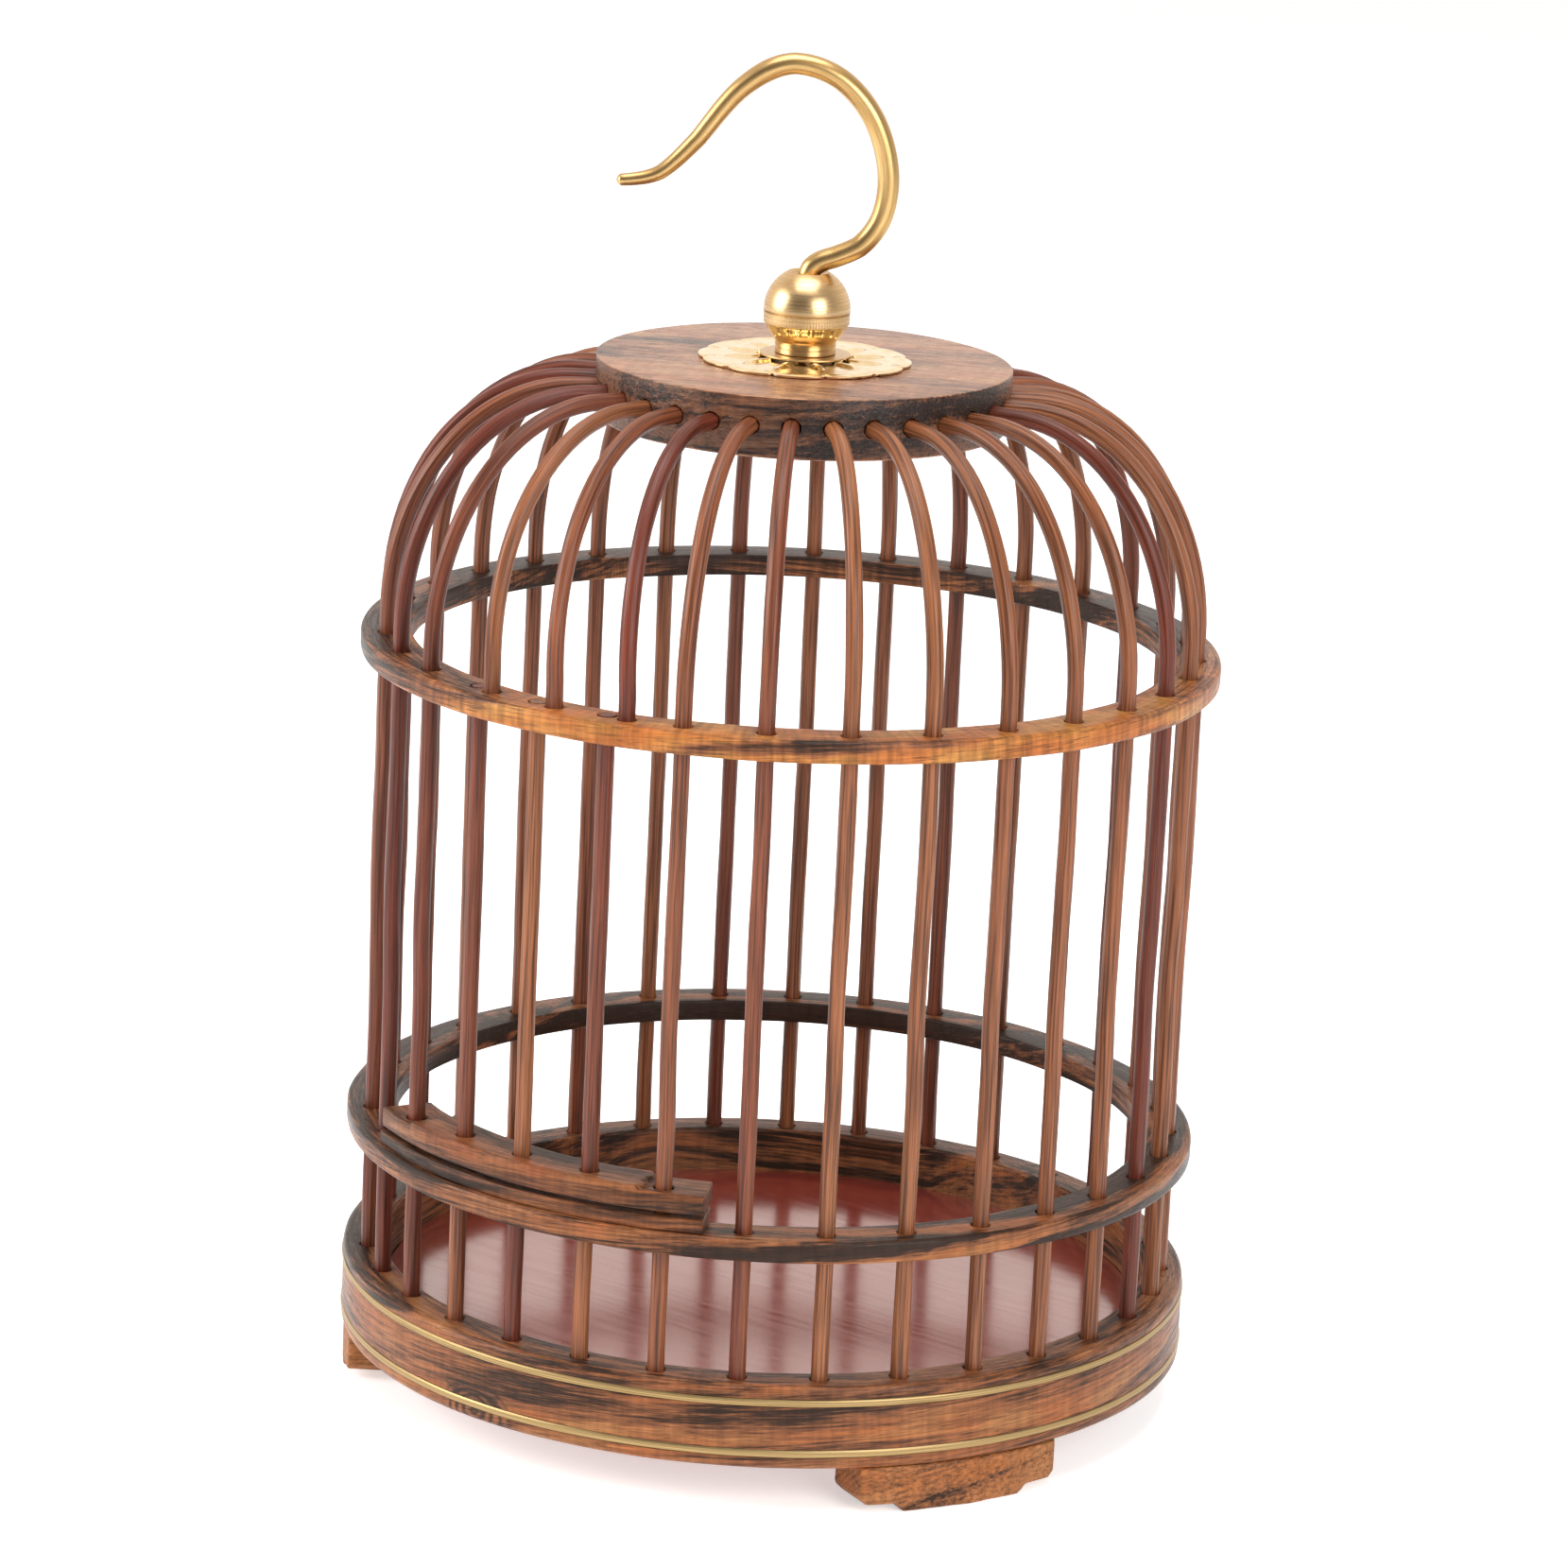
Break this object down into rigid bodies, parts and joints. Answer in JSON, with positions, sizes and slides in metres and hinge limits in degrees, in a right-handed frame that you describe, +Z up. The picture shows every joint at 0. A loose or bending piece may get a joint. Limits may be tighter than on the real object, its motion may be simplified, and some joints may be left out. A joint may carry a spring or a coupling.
{
  "type": "bird cage",
  "caption": "Small round bird cage of dark wood and bamboo bars on bracket feet, with a lift-up barred door and a swivelling brass hanging hook.",
  "frame": {"origin": "middle of the cage, on the surface that its feet stand on", "axes": "+Z up along the cage's axis, the door faces -Y, +X to the right of someone who faces the door"},
  "size_m": [0.12, 0.12, 0.1892],
  "materials": {
    "rosewood": "satin oiled rosewood with dark streaks, turned on a lathe",
    "cap_rosewood": "satin oiled darker rosewood",
    "bamboo": "stained split bamboo, satin, fibres along the bar",
    "floor_lacquer": "glossy red-brown lacquered board",
    "brass": "drawn and turned brass, satin",
    "polished_brass": "polished pale stamped brass",
    "inlay_brass": "brass strip sanded flush with the wood"
  },
  "bodies": {
    "root": {"ball_base": "brass", "ball_cap": "brass", "base_ring": "rosewood", "brass_inlay_lower": "inlay_brass", "brass_inlay_upper": "inlay_brass", "cage_bar_01": "bamboo", "cage_bar_02": "bamboo", "cage_bar_03": "bamboo", "cage_bar_04": "bamboo", "cage_bar_05": "bamboo", "cage_bar_06": "bamboo", "cage_bar_07": "bamboo", "cage_bar_08": "bamboo", "cage_bar_09": "bamboo", "cage_bar_10": "bamboo", "cage_bar_11": "bamboo", "cage_bar_12": "bamboo", "cage_bar_13": "bamboo", "cage_bar_14": "bamboo", "cage_bar_15": "bamboo", "cage_bar_16": "bamboo", "cage_bar_17": "bamboo", "cage_bar_18": "bamboo", "cage_bar_19": "bamboo", "cage_bar_20": "bamboo", "cage_bar_21": "bamboo", "cage_bar_22": "bamboo", "cage_bar_23": "bamboo", "cage_bar_24": "bamboo", "cage_bar_25": "bamboo", "cage_bar_26": "bamboo", "cage_bar_27": "bamboo", "cap": "cap_rosewood", "dome_bar_left": "bamboo", "dome_bar_middle": "bamboo", "dome_bar_right": "bamboo", "door_sill": "rosewood", "flange_washer": "brass", "floor_board": "floor_lacquer", "foot_back": "rosewood", "foot_front_left": "rosewood", "foot_front_right": "rosewood", "guide_bar_left": "bamboo", "guide_bar_right": "bamboo", "lower_hoop": "rosewood", "rosette_plate": "polished_brass", "short_bar_left": "bamboo", "short_bar_middle": "bamboo", "short_bar_right": "bamboo", "stud_nut": "brass", "stud_washer": "brass", "upper_hoop": "rosewood"},
    "door": {"door_bar_left": "bamboo", "door_bar_middle": "bamboo", "door_bar_right": "bamboo", "door_rail": "rosewood"},
    "swivel_hook": {"hook": "brass"}
  },
  "joints": [
    {"name": "door_lift", "type": "slide", "parent": "root", "child": "door", "axis": [0, 0, 1], "range_m": [0, 0.0595]},
    {"name": "hook_swivel", "type": "hinge", "parent": "root", "child": "swivel_hook", "pos_m": [0, 0, 0.1539], "axis": [0, 0, 1], "continuous": true}
  ]
}
